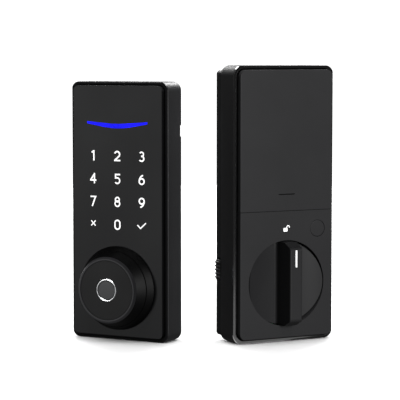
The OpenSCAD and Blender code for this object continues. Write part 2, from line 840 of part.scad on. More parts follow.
module clutch_fork() {
    rod_tip = cavity_front - 0.6 - clutch_travel - 0.3;
    color(steel_grey) at_knob() {
        difference() {
            union() {
                disc(sleeve_r + 1.5, fork_back, fork_back + fork_t);
                block(actuator_x / 2, 0, -actuator_x, 8, fork_back, fork_back + fork_t);
            }
            disc(fork_groove_r + 0.3, fork_back - 1, fork_back + fork_t + 1);
            block(sleeve_r, 0, 2 * sleeve_r, 2 * (fork_groove_r + 0.3), fork_back - 1,
                fork_back + fork_t + 1);
        }
        translate([actuator_x + 2, 0, 0]) disc(rod_r, fork_back + fork_t - eps, rod_tip);
    }
}

module clutch_actuator() {
    color([0.2, 0.2, 0.22]) at_knob() difference() {
        block(actuator_x, 0, actuator_w, actuator_h, fork_back + fork_t + clutch_travel + 0.3,
            cavity_front);
        translate([actuator_x + 2, 0, 0]) disc(rod_r + running, 0, cavity_front - 0.6);
    }
}

module tail_hub() {
    color(steel_grey) at_knob() difference() {
        union() {
            disc(tail_hub_d / 2, gasket_t - 0.2, collar_back);
            disc(tail_hub_d / 2 + 2, collar_back, collar_back + collar_t);
            block(0, 0, square_w, square_w, collar_back + collar_t - eps, spindle_end - 0.9);
            disc(pilot_r, spindle_end - 1, pilot_end);
        }
        block(0, 0, tail_t, tail_w, gasket_t - 1, back_inner + 1);
    }
}

module tail_bush() {
    color(brass_gold) at_knob() difference() {
        union() {
            disc(tail_hub_d / 2 + 2.5, gasket_t, back_inner);
            disc(tail_hub_d / 2 + 4.5, back_inner, back_inner + tail_bush_flange);
        }
        disc(tail_hub_d / 2 + running, gasket_t - 1, back_inner + tail_bush_flange + 1);
    }
}

module tailpiece() {
    color(steel_grey) at_knob() block(0, 0, tail_t, tail_w, -tail_l, back_inner + 1);
}

// ---- Interior unit: casing ----

module mounting_plate() {
    color(steel_grey) place_interior() difference() {
        translate([0, int_mid, 0]) slab(base_w - 2 * base_wall - 0.6, base_h - 2 * base_wall - 0.6,
            2, 0, plate_t);
        translate([0, turn_y, 0]) disc(hub_d / 2 + 5, -1, plate_t + 1);
        for (sx = [-1, 1]) translate([sx * post_dx / 2, turn_y, 0]) disc(2.7, -1, plate_t + 1);
        block(0, 12, 13, 6.5, -1, plate_t + 1);
        translate([0, int_mid + 20, 0]) slab(30, 60, 4, -1, plate_t + 1);
        // Catch window for the release slider
        block(-base_w / 2 + base_wall + 2, slider_y + slider_l / 2, 4, slider_l + 2 * slider_travel,
            -1, plate_t + 1);
    }
}

module inner_base() {
    inner_w = base_w - 2 * base_wall;
    inner_h = base_h - 2 * base_wall;
    color(base_black) place_interior() difference() {
        translate([0, int_mid, 0]) slab(base_w, base_h, base_r, 0, base_d);
        translate([0, int_mid, 0]) slab(inner_w, inner_h, base_r - 0.5, -1, floor_back);
        translate([0, int_mid, 0])
            slab(inner_w - 4, inner_h - 4, base_r - 0.5, floor_front, base_d + 1);
        translate([0, turn_y, 0]) disc(hub_d / 2 + 2.5, 0, base_d + 1);
        block(0, 12, 13, 6.5, 0, base_d + 1);
        for (sx = [-1, 1], sy = [-1, 1])
            translate([sx * case_boss_x, int_mid + sy * case_boss_y, 0]) {
                disc(case_screw_r + 0.2, 0, base_d + 1);
                disc(3, 0, floor_back + 1.2);
            }
        // Slot and pocket for the release slider
        block(-slider_x, slider_y + (slider_l + slider_travel) / 2, 2 * base_wall + 1,
            slider_l - 6 + slider_travel + 2 * loose, slider_back + 1.3, slider_front - 1.3);
        block(-slider_x + base_wall + 1.9, slider_y + (slider_l + slider_travel) / 2, 4.2,
            slider_l + slider_travel + 2, floor_back - 0.5, base_d + 1);
    }
}

module inner_shell() {
    color(shell_grey) place_interior() difference() {
        union() {
            difference() {
                translate([0, int_mid, 0]) slab(int_w, int_h, int_r, base_d, trim_back - 0.25);
                translate([0, int_mid, 0]) slab(int_w - 2 * int_wall, int_h - 2 * int_wall,
                    int_r - int_wall, base_d + shell_back_t, wall_back);
            }
            // Shadow line under the trim frame
            translate([0, int_mid, 0])
                slab(int_w - 0.7, int_h - 0.7, int_r - 0.35, wall_back, trim_back);
            for (sx = [-1, 1], sy = [-1, 1])
                translate([sx * case_boss_x, int_mid + sy * case_boss_y, 0])
                    disc(3, base_d + eps, wall_back + eps);
            for (sx = [-1, 1], y = control_holes) translate([sx * (int_w / 2 - int_wall - 5), y, 0])
                disc(standoff_r, control_front, wall_back + eps);
        }
        // Rear opening
        translate([0, int_mid, 0])
            slab(2 * rear_half, base_h - 14, 2, base_d - 1, base_d + shell_back_t + eps);
        // Battery bay, thumbturn and button openings in the front wall
        translate([0, (bay_low + bay_high) / 2, 0])
            slab(2 * bay_half, bay_high - bay_low, bay_r, wall_back - eps, int_d);
        translate([0, turn_y, 0]) disc(turn_d / 2 + turn_gap, wall_back - 1, int_d);
        translate([button_x, button_y, 0]) disc(3.6, wall_back - 1, int_d);
        for (sx = [-1, 1], sy = [-1, 1])
            translate([sx * case_boss_x, int_mid + sy * case_boss_y, 0])
                disc(case_screw_r, 0, wall_back - 3);
    }
}

module trim_frame() {
    color([0.22, 0.22, 0.23]) place_interior() translate([0, int_mid, 0]) difference() {
        soft_slab(int_w, int_h, int_r, trim_back, int_d, int_edge);
        slab(int_w - 2 * int_lip, int_h - 2 * int_lip, int_panel_r + int_groove,
            trim_back - 1, int_d + 1);
    }
}

// Outline of both front panels together, cut at the seam
module panel_outline(low, high) {
    intersection() {
        translate([0, int_mid]) rounded_rect(int_panel_w, int_panel_h, int_panel_r);
        translate([-int_w / 2, low]) square([int_w, high - low]);
    }
}

module lower_panel() {
    top = seam_y - seam_gap / 2;
    color(panel_grey) place_interior() difference() {
        intersection() {
            translate([0, int_mid, 0])
                soft_slab(int_panel_w, int_panel_h, int_panel_r, trim_back, int_front,
                    panel_edge);
            linear_extrude(int_front + 1) panel_outline(-1, top);
        }
        // Hollow behind the front wall, with a rim left all round and around the openings
        difference() {
            translate([0, (top + int_lip + int_groove) / 2, 0]) slab(int_panel_w - 4,
                top - int_lip - int_groove - 4, int_panel_r - 2, trim_back - 1,
                int_front - panel_wall);
            translate([0, turn_y, 0]) disc(turn_d / 2 + turn_gap + 1.6, 0, int_front);
            translate([button_x, button_y, 0]) disc(button_d / 2 + 1.4, 0, int_front);
        }
        translate([0, turn_y, 0]) disc(turn_d / 2 + turn_gap, 0, int_front + 1);
        translate([button_x, button_y, 0]) disc(button_d / 2 + loose / 2, 0, int_front + 1);
        translate([0, 0, int_front - 0.5]) linear_extrude(2) padlock_shape();
    }
}

// Open padlock: a body, and a shackle that stands to its right and is free on one side
module padlock_shape() {
    leg = lock_r * 0.5;
    translate([0, button_y]) {
        translate([-lock_w * 0.3, 0]) rounded_rect(lock_w, lock_h, 0.4);
        translate([lock_w * 0.2 - 0.1 + lock_r * 0.5, lock_h / 2 + leg - 0.1]) {
            intersection() {
                difference() {
                    circle(lock_r);
                    circle(lock_r - lock_stroke);
                }
                translate([-2 * lock_r, 0]) square([4 * lock_r, 2 * lock_r]);
            }
            translate([-lock_r, -leg - 0.2]) square([lock_stroke, leg + 0.2]);
            translate([lock_r - lock_stroke, -leg * 0.7]) square([lock_stroke, leg * 0.7]);
        }
    }
}

module padlock_symbol() {
    color(symbol_white) place_interior()
        translate([0, 0, int_front - 0.5]) linear_extrude(0.5) padlock_shape();
}

module case_screws() {
    color(steel_grey) place_interior() for (sx = [-1, 1], sy = [-1, 1])
        translate([sx * case_boss_x, int_mid + sy * case_boss_y, 0])
            screw(case_screw_r, 2.7, 1, floor_back + 0.2, wall_back - 4);
}

// ---- Interior unit: battery bay ----

module battery_cover() {
    low = seam_y + seam_gap / 2;
    color(panel_grey) place_interior() {
        difference() {
            intersection() {
                translate([0, int_mid, 0])
                    soft_slab(int_panel_w, int_panel_h, int_panel_r, cover_back, int_front,
                        panel_edge);
                linear_extrude(int_front + 1) panel_outline(low, int_h);
            }
            // Engraved pull mark
            block(0, seam_y + mark_dy, mark_l, 0.7, int_front - 0.35, int_front + 1);
        }
        // Two runners: a neck through the bay and a foot behind the shell's front wall
        for (sx = [-1, 1]) {
            block(sx * (bay_half - 1.2), runner_low + runner_l / 2, 1.6, runner_l,
                wall_back - 0.3 - foot_t, cover_back + eps);
            block(sx * (bay_half - 0.4), runner_low + runner_l / 2, 3.2, runner_l,
                wall_back - 0.3 - foot_t, wall_back - 0.3);
        }
    }
}

// Place of one cell, counted from the left, every second one head down
module at_cell(i) {
    translate([(i - 1.5) * (cell_d + cell_gap), cell_low + cell_l / 2, cell_z])
        rotate([0, 0, i % 2 * 180]) rotate([-90, 0, 0]) translate([0, 0, -cell_l / 2]) children();
}

module battery_tray() {
    color(base_black) place_interior() difference() {
        union() {
            block(0, tray_y + tray_h / 2, 2 * tray_half, tray_h, tray_step, tray_front);
            block(0, tray_y + tray_h / 2, 2 * (rear_half - loose), tray_h, tray_back,
                tray_step + eps);
        }
        block(0, tray_y + tray_h / 2, 2 * (tray_half - tray_wall), tray_h - 2 * tray_wall,
            cell_z, tray_front + 1);
        for (i = [0 : 3]) translate([(i - 1.5) * (cell_d + cell_gap), tray_y + tray_wall, cell_z])
            rotate([-90, 0, 0]) cylinder(r = cell_d / 2 + 0.2, h = tray_h - 2 * tray_wall);
    }
}

module batteries() {
    color([0.25, 0.3, 0.35]) place_interior() for (i = [0 : 3]) at_cell(i) {
        cylinder(r = cell_d / 2, h = cell_l - nub_l);
        cylinder(r = 2.75, h = cell_l);
    }
}

// Contact plates on the tray's two end walls, with straps that bridge a pair of cells
module battery_contacts() {
    low = tray_y + tray_wall;
    high = tray_y + tray_h - tray_wall - contact_t;
    pitch = cell_d + cell_gap;
    color(light_grey) place_interior() for (y = [low, high]) {
        for (i = [0 : 3]) block((i - 1.5) * pitch, y + contact_t / 2, 2 * contact_half,
            contact_t, cell_z - contact_half, cell_z + contact_half);
        for (x = y == low ? [-pitch, pitch] : [0])
            block(x, y + contact_t / 2, pitch, contact_t, cell_z + 0.5, cell_z + 3.5);
    }
}

// Sleeve springs against the flat ends of the cells, held at one end or the other
module battery_springs() {
    low_gap = cell_low - (tray_y + tray_wall + contact_t);
    high_gap = tray_y + tray_h - tray_wall - contact_t - (cell_low + cell_l);
    color(light_grey) place_interior() for (i = [0 : 3]) at_cell(i)
        translate([0, 0, i % 2 == 0 ? -low_gap : -high_gap]) ring(4.6, 3.6, 0,
            i % 2 == 0 ? low_gap : high_gap);
}

// ---- Interior unit: thumbturn and drive ----

// Grip bar's end view: full width at its foot, with round upper corners
module bar_profile() {
    foot_half = turn_d / 2 + bar_round;
    top_half = bar_l / 2;
    polygon([[-foot_half, turn_back + 1], [foot_half, turn_back + 1], [foot_half, int_front],
        [top_half, bar_front - bar_round], [-top_half, bar_front - bar_round],
        [-foot_half, int_front]]);
    translate([-top_half + bar_round, bar_front - 2 * bar_round])
        square([bar_l - 2 * bar_round, 2 * bar_round]);
    for (s = [-1, 1]) translate([s * (top_half - bar_round), bar_front - bar_round])
        circle(bar_round);
}

// Corner to fill between a floor and a wall, sunk a little into both
module fillet_corner(r) {
    difference() {
        translate([-0.2, -0.2]) square(r + 0.2);
        translate([r, r]) circle(r);
    }
}

module thumbturn() {
    color(panel_grey) at_turn() difference() {
        union() {
            difference() {
                disc(turn_d / 2, turn_back, int_front);
                // Finger scoops, deepest along the bar
                for (sx = [-1, 1]) difference() {
                    translate([sx * bar_w / 2, turn_d, int_front - scoop_depth + scoop_r])
                        rotate([90, 0, 0]) cylinder(r = scoop_r, h = 2 * turn_d);
                    translate([sx > 0 ? bar_w / 4 - 2 * scoop_r : -bar_w / 4, -2 * turn_d, 0])
                        cube([2 * scoop_r, 4 * turn_d, 3 * scoop_r]);
                }
            }
            intersection() {
                translate([-bar_w / 2, 0, 0]) rotate([90, 0, 90])
                    linear_extrude(bar_w) bar_profile();
                translate([0, turn_d, turn_back]) rotate([90, 0, 0]) linear_extrude(2 * turn_d)
                    edge_profile(bar_w, bar_front - turn_back, bar_edge);
                disc(turn_d / 2, turn_back, bar_front + 1);
            }
            intersection() {
                for (sx = [0, 1]) mirror([sx, 0, 0])
                    translate([bar_w / 2, turn_d, int_front - scoop_depth])
                        rotate([90, 0, 0]) linear_extrude(2 * turn_d) fillet_corner(bar_fillet);
                disc(turn_d / 2 - 0.3, turn_back, bar_front + 1);
            }
            disc(hub_boss_r, control_back - 0.1, turn_back + eps);
        }
        disc(hub_d / 2, control_back - 1, turn_back);
        block(0, bar_l / 2 - 2 - marker_l / 2, marker_w, marker_l, bar_front - 0.6, bar_front + 1);
    }
}

module thumbturn_marker() {
    color(symbol_white) at_turn()
        block(0, bar_l / 2 - 2 - marker_l / 2, marker_w, marker_l, bar_front - 0.6, bar_front);
}

module drive_hub() {
    color(steel_grey) at_turn() difference() {
        disc(hub_d / 2, hub_back, turn_back - 0.1);
        block(0, 0, slot_t, slot_w, hub_back - 1, hub_back + slot_l);
    }
}

module hub_bush() {
    color(brass_gold) at_turn() ring(hub_d / 2 + 2.5, hub_d / 2 + running, floor_back,
        case_back + case_floor_t);
}

module main_gear() {
    color(symbol_white) at_turn()
        spur_gear(main_teeth, hub_d / 2, main_back, main_back + main_t,
            idler_angle + 180 / main_teeth);
}

// Large wheel and small pinion on one hub
module idler_gear() {
    color(symbol_white) place_interior() translate([idler_x, idler_y, 0]) union() {
        spur_gear(idler_teeth, axle_r + running, wheel_back, wheel_back + wheel_t, motor_angle);
        spur_gear(pinion_teeth, axle_r + running, main_back, wheel_back + eps, idler_angle + 180);
    }
}

module idler_axle() {
    color(steel_grey) place_interior() translate([idler_x, idler_y, 0])
        disc(axle_r, case_back, gear_cover_back + cover_t);
}

module motor_pinion() {
    color(brass_gold) place_interior() translate([motor_x, motor_y, 0])
        spur_gear(pinion_teeth, 1, wheel_back, wheel_back + wheel_t,
            motor_angle + 180 + 180 / pinion_teeth);
}

module drive_motor() {
    color(light_grey) place_interior() translate([motor_x, motor_y, 0]) {
        disc(motor_d / 2, motor_back, motor_front - 0.6);
        disc(3, motor_front - 0.6 - eps, motor_front - 0.1);
        disc(1 - running, motor_front - 0.2, wheel_back + wheel_t);
    }
}

module gearbox_case() {
    mid_x = (gearbox_left + gearbox_right) / 2;
    mid_y = (gearbox_low + gearbox_high) / 2;
    color([0.16, 0.16, 0.17]) place_interior() difference() {
        block(mid_x, mid_y, gearbox_right - gearbox_left, gearbox_high - gearbox_low, case_back,
            gear_cover_back);
        block(mid_x, mid_y, gearbox_right - gearbox_left - 2 * gearbox_wall,
            gearbox_high - gearbox_low - 2 * gearbox_wall, case_back + case_floor_t,
            gear_cover_back + 1);
        translate([0, turn_y, 0]) disc(hub_d / 2 + 2.5, 0, case_back + 2);
        translate([idler_x, idler_y, 0]) disc(axle_r, 0, case_back + 2);
    }
}

module gearbox_cover() {
    mid_x = (gearbox_left + gearbox_right) / 2;
    mid_y = (gearbox_low + gearbox_high) / 2;
    color([0.2, 0.2, 0.21]) place_interior() difference() {
        block(mid_x, mid_y, gearbox_right - gearbox_left, gearbox_high - gearbox_low,
            gear_cover_back, gear_cover_back + cover_t);
        translate([0, turn_y, 0]) disc(hub_d / 2 + loose, 0, int_d);
        translate([idler_x, idler_y, 0]) disc(axle_r, 0, int_d);
    }
}

// ---- Interior unit: board, button and slider ----

module control_board() {
    color(board_green) place_interior() difference() {
        block(0, (control_low + seam_y) / 2, int_w - 2 * int_wall - 3, seam_y - control_low,
            control_back, control_front);
        translate([0, turn_y, 0]) disc(hub_boss_r + 1, 0, int_d);
        for (sx = [-1, 1]) translate([sx * case_boss_x, int_mid - case_boss_y, 0])
            disc(4, 0, int_d);
        for (sx = [-1, 1], y = control_holes) translate([sx * (int_w / 2 - int_wall - 5), y, 0])
            disc(1.1, 0, int_d);
    }
}

module set_button() {
    color(panel_grey) place_interior() translate([button_x, button_y, 0]) {
        disc(button_d / 2, int_front - panel_wall, int_front);
        disc(2, control_front + 1 + button_travel + 0.1, int_front - panel_wall + eps);
    }
}

module button_switch() {
    color([0.3, 0.3, 0.32]) place_interior() {
        block(button_x, button_y, 4.5, 4.5, control_front, control_front + 0.7);
        translate([button_x, button_y, 0]) disc(1.2, control_front + 0.7 - eps, control_front + 1);
    }
}

module buzzer() {
    color(base_black) place_interior() translate([gearbox_right + 6.2, turn_y - 14, 0])
        ring(5, 1, control_back - 4.5, control_back);
}

module inner_cable_socket() {
    color("ivory") place_interior() difference() {
        block(0, 12, 12, 5, control_back - 5, control_back);
        block(0, 12, 10, 3.4, control_back - 6, control_back - 1);
    }
}

module release_slider() {
    rib_pitch = slider_l / (slider_ribs + 0.4);
    outer = slider_x + 0.15;
    color(base_black) place_interior() {
        // Thumb piece with cross ribs
        block(-(outer + (slider_t - 0.75) / 2), slider_y + slider_l / 2, slider_t - 0.75, slider_l,
            slider_back, slider_front);
        for (i = [0 : slider_ribs - 1])
            block(-(outer + slider_t / 2), slider_y + rib_pitch * (i + 0.7), slider_t,
                rib_pitch * 0.55, slider_back, slider_front);
        // Stem through the wall, and the catch behind it
        block(-(outer - (base_wall + 0.5) / 2), slider_y + slider_l / 2, base_wall + 0.5 + 2 * eps,
            slider_l - 6, slider_back + 1.6, slider_front - 1.6);
        block(-(outer - base_wall - 0.5 - 0.7), slider_y + slider_l / 2, 1.4, slider_l - 1,
            floor_back, slider_front - 1.2);
    }
}

exterior_housing();
front_panel();
keypad_legends();
status_light();
keypad_board();
key_leds();
knob_body();
knob_face();
fingerprint_ring();
fingerprint_sensor();
sensor_board();
knob_spindle();
knob_bush();
retaining_clip();
clutch_sleeve();
clutch_fork();
clutch_actuator();
tail_hub();
tail_bush();
tailpiece();
exterior_back_plate();
exterior_gasket();
back_plate_screws();
mounting_posts();
exterior_cable_socket();
mounting_plate();
inner_base();
inner_shell();
trim_frame();
lower_panel();
battery_cover();
battery_tray();
batteries();
battery_contacts();
battery_springs();
thumbturn();
thumbturn_marker();
drive_hub();
hub_bush();
main_gear();
idler_gear();
idler_axle();
motor_pinion();
drive_motor();
gearbox_case();
gearbox_cover();
control_board();
set_button();
button_switch();
padlock_symbol();
release_slider();
buzzer();
case_screws();
inner_cable_socket();
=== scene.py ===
import json
import math
import bmesh
import bpy
from mathutils import Matrix, Vector


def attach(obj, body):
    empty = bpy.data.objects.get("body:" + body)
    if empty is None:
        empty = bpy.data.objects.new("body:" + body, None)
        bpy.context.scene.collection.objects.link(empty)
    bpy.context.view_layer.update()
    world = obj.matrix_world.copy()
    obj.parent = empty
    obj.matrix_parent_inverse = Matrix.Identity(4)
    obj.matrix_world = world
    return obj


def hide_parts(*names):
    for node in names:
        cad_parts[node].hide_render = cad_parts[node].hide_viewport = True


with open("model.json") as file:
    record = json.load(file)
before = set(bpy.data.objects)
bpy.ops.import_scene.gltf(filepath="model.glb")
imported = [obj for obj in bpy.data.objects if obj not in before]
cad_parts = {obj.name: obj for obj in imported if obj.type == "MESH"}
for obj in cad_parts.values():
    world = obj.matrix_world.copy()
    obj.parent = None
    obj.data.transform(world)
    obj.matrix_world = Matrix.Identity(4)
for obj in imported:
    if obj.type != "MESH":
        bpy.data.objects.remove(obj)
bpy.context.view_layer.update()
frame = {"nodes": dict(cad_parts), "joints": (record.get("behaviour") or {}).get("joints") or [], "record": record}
record = frame["record"]
print("frame loaded:", len(frame["nodes"]), "nodes")


# Each unit has its own millimetre axes: x to the right, y up, z out of the door face.
def unitMatrix(jointName, faceName):
    joint = next(j for j in frame["joints"] if j["name"] == jointName)
    face = next(m for m in record["mounts"] if m["name"] == faceName)
    out = Vector(joint["axis"]).normalized()
    pos = Vector(joint["pos_m"])
    origin = pos + out * ((Vector(face["pos_m"]) - pos) @ out)
    origin.z = 0
    right = Vector((0, 0, 1)).cross(out)
    turn = Matrix((right, (0, 0, 1), out)).transposed().to_4x4()
    return Matrix.Translation(origin) @ turn @ Matrix.Scale(0.001, 4)


outside = unitMatrix("knob_turn", "exterior_door_face")
inside = unitMatrix("thumbturn_turn", "interior_door_face")


def unitBox(nodeName, unit):
    toUnit = unit.inverted()
    points = [toUnit @ v.co for v in frame["nodes"][nodeName].data.vertices]
    low = Vector([min(p[i] for p in points) for i in range(3)])
    high = Vector([max(p[i] for p in points) for i in range(3)])
    return low, high


# Shapes, all in a unit's millimetres
smallestRadius = 0.12  # a corner never gets sharper than this when its outline is inset
nearAxis = 0.01  # a turned face's line ends here, and one more point closes it on the axis


def softLine(points, radii, steps=5):
    # an open line of 2D points whose inner corners are rounded
    out = [Vector(points[0])]
    for i in range(1, len(points) - 1):
        p, radius = Vector(points[i]), radii[i - 1]
        a, b = Vector(points[i - 1]) - p, Vector(points[i + 1]) - p
        if radius <= 0:
            out.append(p)
            continue
        half = a.angle(b) / 2
        reach = min(radius / math.tan(half), 0.49 * a.length, 0.49 * b.length)
        toMiddle = (a.normalized() + b.normalized()).normalized()
        centre = p + toMiddle * reach / math.cos(half)
        first = p + a.normalized() * reach - centre
        last = p + b.normalized() * reach - centre
        start = math.atan2(first.y, first.x)
        sweep = (math.atan2(last.y, last.x) - start + math.pi) % (2 * math.pi) - math.pi
        for k in range(steps + 1):
            angle = start + sweep * k / steps
            out.append(centre + Vector((math.cos(angle), math.sin(angle))) * first.length)
    out.append(Vector(points[-1]))
    return [tuple(p) for p in out]


def roundLoop(low, high, radii, steps=10):
    # outline of a rectangle; the radii go round from the lower left corner
    corners = [(low[0], low[1], 180), (high[0], low[1], 270),
               (high[0], high[1], 0), (low[0], high[1], 90)]
    loop = []
    for (x, y, start), r in zip(corners, radii):
        cx = x + r if x == low[0] else x - r
        cy = y + r if y == low[1] else y - r
        for k in range(steps + 1):
            angle = math.radians(start + 90 * k / steps)
            loop.append((cx + r * math.cos(angle), cy + r * math.sin(angle)))
    return loop


def insetLoop(low, high, radii, steps=10):
    # gives the outline at any inset
    def at(inset):
        a = (low[0] + inset, low[1] + inset)
        b = (high[0] - inset, high[1] - inset)
        return roundLoop(a, b, [max(r - inset, smallestRadius) for r in radii], steps)
    return at


def circleLoop(x, y, r, steps=96):
    angles = [2 * math.pi * k / steps for k in range(steps)]
    return [(x + r * math.cos(angle), y + r * math.sin(angle)) for angle in angles]


def meshPiece(name, points, faces, unit, sharpAngle=34):
    mesh = bpy.data.meshes.new(name)
    mesh.from_pydata([tuple(unit @ Vector(p)) for p in points], [], faces)
    work = bmesh.new()
    work.from_mesh(mesh)
    bmesh.ops.remove_doubles(work, verts=work.verts, dist=2e-6)
    bmesh.ops.dissolve_degenerate(work, edges=work.edges, dist=1e-6)
    loose = [v for v in work.verts if not v.link_faces]
    bmesh.ops.delete(work, geom=loose, context="VERTS")
    bmesh.ops.recalc_face_normals(work, faces=work.faces)
    work.to_mesh(mesh)
    work.free()
    piece = bpy.data.objects.new(name, mesh)
    bpy.context.scene.collection.objects.link(piece)
    mesh.shade_smooth()
    mesh.set_sharp_from_angle(angle=math.radians(sharpAngle))
    weighted = piece.modifiers.new("flat faces stay flat", "WEIGHTED_NORMAL")
    weighted.keep_sharp = True
    return piece


def stackFaces(loops, closed=False):
    count, faces = len(loops[0]), []
    for i in range(len(loops) if closed else len(loops) - 1):
        a, b = i * count, ((i + 1) % len(loops)) * count
        faces += [(a + k, a + (k + 1) % count, b + (k + 1) % count, b + k) for k in range(count)]
    return faces


def stackPiece(name, outline, profile, unit):
    # a closed block: each profile point is (inset from the outline, depth)
    loops = [[(x, y, z) for x, y in outline(inset)] for inset, z in profile]
    points = [p for loop in loops for p in loop]
    faces, count = stackFaces(loops), len(loops[0])
    faces += [tuple(range(count)), tuple(range(len(points) - count, len(points)))]
    return meshPiece(name, points, faces, unit)


def lathePiece(name, x, y, profile, unit, steps=144, closed=False):
    # profile points are (radius, depth); a closed profile makes a ring
    loops = [[(px, py, z) for px, py in circleLoop(x, y, max(r, 0), steps)] for r, z in profile]
    points = [p for loop in loops for p in loop]
    return meshPiece(name, points, stackFaces(loops, closed), unit)


def quarterRound(radius, frontZ, steps=5):
    angles = [math.pi / 2 * k / steps for k in range(steps + 1)]
    return [(radius - radius * math.cos(angle), frontZ - radius + radius * math.sin(angle))
            for angle in angles]


# Materials
def linear(hexColour):
    values = [int(hexColour[i:i + 2], 16) / 255 for i in (1, 3, 5)]
    return tuple(v / 12.92 if v <= 0.04045 else ((v + 0.055) / 1.055) ** 2.4 for v in values) + (1,)


def addNode(tree, kind, values=None, links=None, **settings):
    node = tree.nodes.new(kind)
    for key, value in settings.items():
        setattr(node, key, value)
    for key, value in (values or {}).items():
        node.inputs[key].default_value = value
    for key, socket in (links or {}).items():
        tree.links.new(socket, node.inputs[key])
    return node


def startMaterial(name, values):
    material = bpy.data.materials.new(name)
    material.use_nodes = True
    shader = next(n for n in material.node_tree.nodes if n.type == "BSDF_PRINCIPLED")
    for key, value in values.items():
        shader.inputs[key].default_value = value
    return material, material.node_tree, shader


def patternSize(millimetres):
    return 1000 / millimetres  # noise scale for a feature of that size, in metre coordinates


def colourRamp(tree, factor, stops):
    ramp = addNode(tree, "ShaderNodeValToRGB", links={"Fac": factor})
    for i, (position, colour) in enumerate(stops):
        stop = ramp.color_ramp.elements[i] if i < 2 else ramp.color_ramp.elements.new(position)
        stop.position, stop.color = position, linear(colour)
    return ramp.outputs["Color"]


def grainedCoat(name, dark, light, roughness, values, grain, depth, spread=0.05, patch=24):
    # fine grain from the mould or the powder, over broad patches that are a little smoother;
    # grain, depth and patch are in millimetres
    material, tree, shader = startMaterial(name, values)
    place = addNode(tree, "ShaderNodeTexCoord").outputs["Object"]
    patches = addNode(tree, "ShaderNodeTexNoise",
                      {"Scale": patternSize(patch), "Detail": 3.0, "Roughness": 0.5},
                      {"Vector": place})
    fine = addNode(tree, "ShaderNodeTexNoise",
                   {"Scale": patternSize(grain), "Detail": 2.0, "Roughness": 0.6},
                   {"Vector": place})
    tone = colourRamp(tree, patches.outputs["Fac"], [(0.3, dark), (0.7, light)])
    tree.links.new(tone, shader.inputs["Base Color"])
    smoother = addNode(tree, "ShaderNodeMapRange",
                       {"From Min": 0.3, "From Max": 0.7,
                        "To Min": roughness - spread, "To Max": roughness + spread},
                       {"Value": patches.outputs["Fac"]})
    tree.links.new(smoother.outputs["Result"], shader.inputs["Roughness"])
    bump = addNode(tree, "ShaderNodeBump", {"Strength": 0.4, "Distance": depth / 1000},
                   {"Height": fine.outputs["Fac"]})
    tree.links.new(bump.outputs["Normal"], shader.inputs["Normal"])
    return material


def turnedMetal(name, dark, light, roughness, grooves, anisotropic=0.3, patch=9, depth=0.01):
    # faint marks of the tool or the brush, over slow changes of tone in the plating
    material, tree, shader = startMaterial(name, {"Metallic": 1.0, "Anisotropic": anisotropic})
    place = addNode(tree, "ShaderNodeTexCoord").outputs["Object"]
    plating = addNode(tree, "ShaderNodeTexNoise", {"Scale": patternSize(patch), "Detail": 4.0},
                      {"Vector": place})
    stretched = addNode(tree, "ShaderNodeMapping", {"Scale": (1, 1, 7)}, {"Vector": place})
    marks = addNode(tree, "ShaderNodeTexNoise", {"Scale": patternSize(grooves), "Detail": 2.0},
                    {"Vector": stretched.outputs["Vector"]})
    tone = colourRamp(tree, plating.outputs["Fac"], [(0.3, dark), (0.7, light)])
    tree.links.new(tone, shader.inputs["Base Color"])
    spread = 0.07  # how far the marks move the roughness each way
    wear = addNode(tree, "ShaderNodeMapRange",
                   {"From Min": 0.3, "From Max": 0.7,
                    "To Min": roughness - spread, "To Max": roughness + spread},
                   {"Value": marks.outputs["Fac"]})
    tree.links.new(wear.outputs["Result"], shader.inputs["Roughness"])
    bump = addNode(tree, "ShaderNodeBump", {"Strength": 0.3, "Distance": depth / 1000},
                   {"Height": marks.outputs["Fac"]})
    tree.links.new(bump.outputs["Normal"], shader.inputs["Normal"])
    return material


def printedBoard(name, mask, copper):
    # green solder mask that darkens between the tracks under it
    values = {"Roughness": 0.35, "Coat Weight": 0.3, "Coat Roughness": 0.15}
    material, tree, shader = startMaterial(name, values)
    place = addNode(tree, "ShaderNodeTexCoord").outputs["Object"]
    cells = addNode(tree, "ShaderNodeTexVoronoi", {"Scale": patternSize(2.5)}, {"Vector": place},
                    distance="CHEBYCHEV")
    tone = colourRamp(tree, cells.outputs["Distance"], [(0.2, copper), (0.34, mask)])
    tree.links.new(tone, shader.inputs["Base Color"])
    bump = addNode(tree, "ShaderNodeBump", {"Strength": 0.4, "Distance": 0.00004},
                   {"Height": cells.outputs["Distance"]})
    tree.links.new(bump.outputs["Normal"], shader.inputs["Normal"])
    return material


def glowingInlay(name, body, glow, strength, uneven):
    # glowing inlay: a moulded light guide glows from the lamps behind it, a little less between them; on white ink
    # with no lamp behind it the same glow is painted
    values = {"Roughness": 0.45, "Emission Strength": strength, "Specular IOR Level": 0.1}
    material, tree, shader = startMaterial(name, values)
    place = addNode(tree, "ShaderNodeTexCoord").outputs["Object"]
    cloud = addNode(tree, "ShaderNodeTexNoise", {"Scale": patternSize(7), "Detail": 2.0},
                    {"Vector": place})
    light = colourRamp(tree, cloud.outputs["Fac"], [(0.3, uneven), (0.6, glow)])
    tree.links.new(light, shader.inputs["Emission Color"])
    tone = colourRamp(tree, cloud.outputs["Fac"], [(0.3, body), (0.7, glow)])
    tree.links.new(tone, shader.inputs["Base Color"])
    return material


